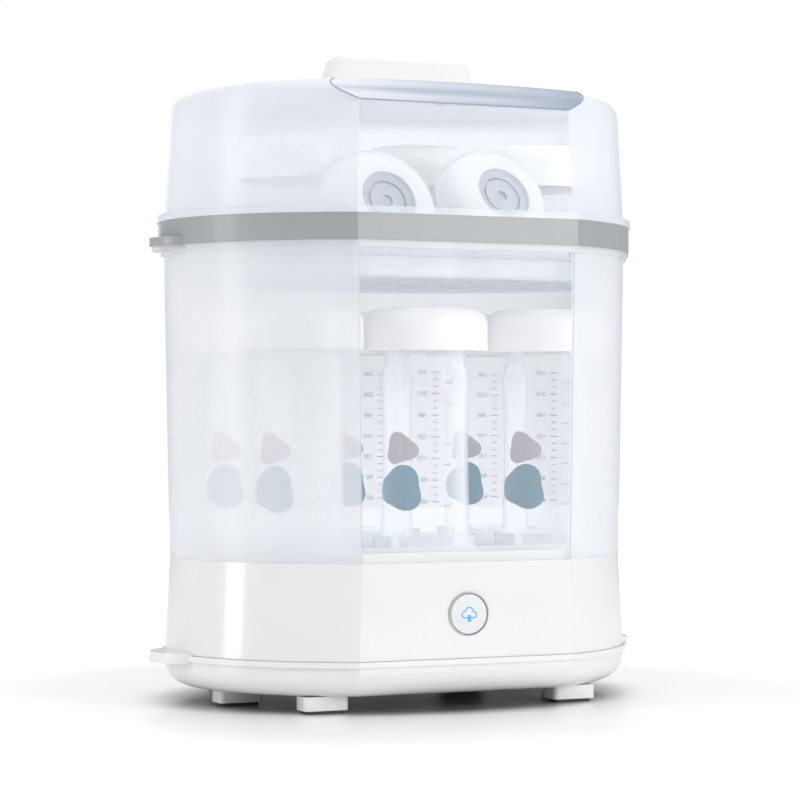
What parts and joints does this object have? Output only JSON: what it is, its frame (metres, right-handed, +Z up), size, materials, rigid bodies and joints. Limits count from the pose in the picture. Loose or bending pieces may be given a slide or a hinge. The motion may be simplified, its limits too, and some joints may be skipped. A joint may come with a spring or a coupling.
{
  "type": "bottle steriliser",
  "caption": "Steam steriliser for baby bottles: white heated base, frosted oval body with a clear flat front, grey-rimmed upper basket and a lift-off lid.",
  "frame": {"origin": "on the table, under the middle of the bounding box", "axes": "+Z up; the flat front with the button faces -Y; the long side of the oval runs along X"},
  "size_m": [0.312, 0.2218, 0.385],
  "materials": {
    "base_white": "gloss moulded white",
    "foot_rubber": "matt dark rubber",
    "screw_steel": "zinc plated",
    "plate_steel": "brushed stainless",
    "seal_silicone": "matt translucent silicone",
    "element_metal": "cast",
    "board_green": "solder mask",
    "component_black": "moulded black",
    "led_clear": "clear lens",
    "terminal_white": "nylon",
    "wire_blue": "insulation",
    "gland_grey": "matt soft plastic",
    "trim_silver": "satin",
    "button_white": "satin white",
    "icon_blue": "backlit",
    "rack_clear": "translucent moulded",
    "bottle_clear": "clear",
    "cap_white": "satin white",
    "shell_frosted": "frosted with a clear front",
    "rim_grey": "satin grey",
    "tray_clear": "translucent moulded",
    "collar_white": "milky translucent",
    "disc_clear": "clear silicone",
    "lid_frosted": "frosted with a clear front",
    "handle_white": "gloss moulded white"
  },
  "bodies": {
    "base": {"lower_base_cover": "base_white", "feet": "base_white", "foot_pads": "foot_rubber", "base_screws": "screw_steel", "upper_base_housing": "base_white", "heating_plate": "plate_steel", "plate_seal": "seal_silicone", "plate_clamp": "screw_steel", "clamp_screws": "screw_steel", "heater_element": "element_metal", "thermostat": "component_black", "thermal_fuse": "element_metal", "control_board": "board_green", "board_screws": "screw_steel", "button_switch": "component_black", "power_relay": "component_black", "indicator_led": "led_clear", "terminal_block": "terminal_white", "mains_wires": "wire_blue", "cable_gland": "gland_grey", "button_ring": "trim_silver"},
    "button": {"power_button": "button_white", "button_icon": "icon_blue"},
    "rack": {"bottle_rack": "rack_clear", "bottle_body_1": "bottle_clear", "bottle_body_2": "bottle_clear", "bottle_body_3": "bottle_clear", "bottle_body_4": "bottle_clear", "bottle_body_5": "bottle_clear", "bottle_body_6": "bottle_clear", "bottle_cap_1": "cap_white", "bottle_cap_2": "cap_white", "bottle_cap_3": "cap_white", "bottle_cap_4": "cap_white", "bottle_cap_5": "cap_white", "bottle_cap_6": "cap_white"},
    "shell": {"body_shell": "shell_frosted"},
    "basket": {"basket_rim": "rim_grey", "basket_tray": "tray_clear", "pot_body_1": "bottle_clear", "pot_body_2": "bottle_clear", "pot_body_3": "bottle_clear", "pot_cap_1": "cap_white", "pot_cap_2": "cap_white", "pot_cap_3": "cap_white", "collar_1": "collar_white", "collar_2": "collar_white", "collar_disc_1": "disc_clear", "collar_disc_2": "disc_clear", "soother": "disc_clear"},
    "lid": {"lid_shell": "lid_frosted", "lid_handle": "handle_white", "handle_screws": "screw_steel"}
  },
  "joints": [
    {"name": "rack_lift", "type": "slide", "parent": "base", "child": "rack", "axis": [0, 0, 1], "range_m": [0, 0.05]},
    {"name": "shell_lift", "type": "slide", "parent": "rack", "child": "shell", "axis": [0, 0, 1], "range_m": [0, 0.17]},
    {"name": "basket_lift", "type": "slide", "parent": "shell", "child": "basket", "axis": [0, 0, 1], "range_m": [0, 0.06]},
    {"name": "lid_lift", "type": "slide", "parent": "basket", "child": "lid", "axis": [0, 0, 1], "range_m": [0, 0.08]},
    {"name": "button_press", "type": "slide", "parent": "base", "child": "button", "axis": [0, 1, 0], "range_m": [0, 0.001], "stiffness_N_per_m": 800}
  ]
}
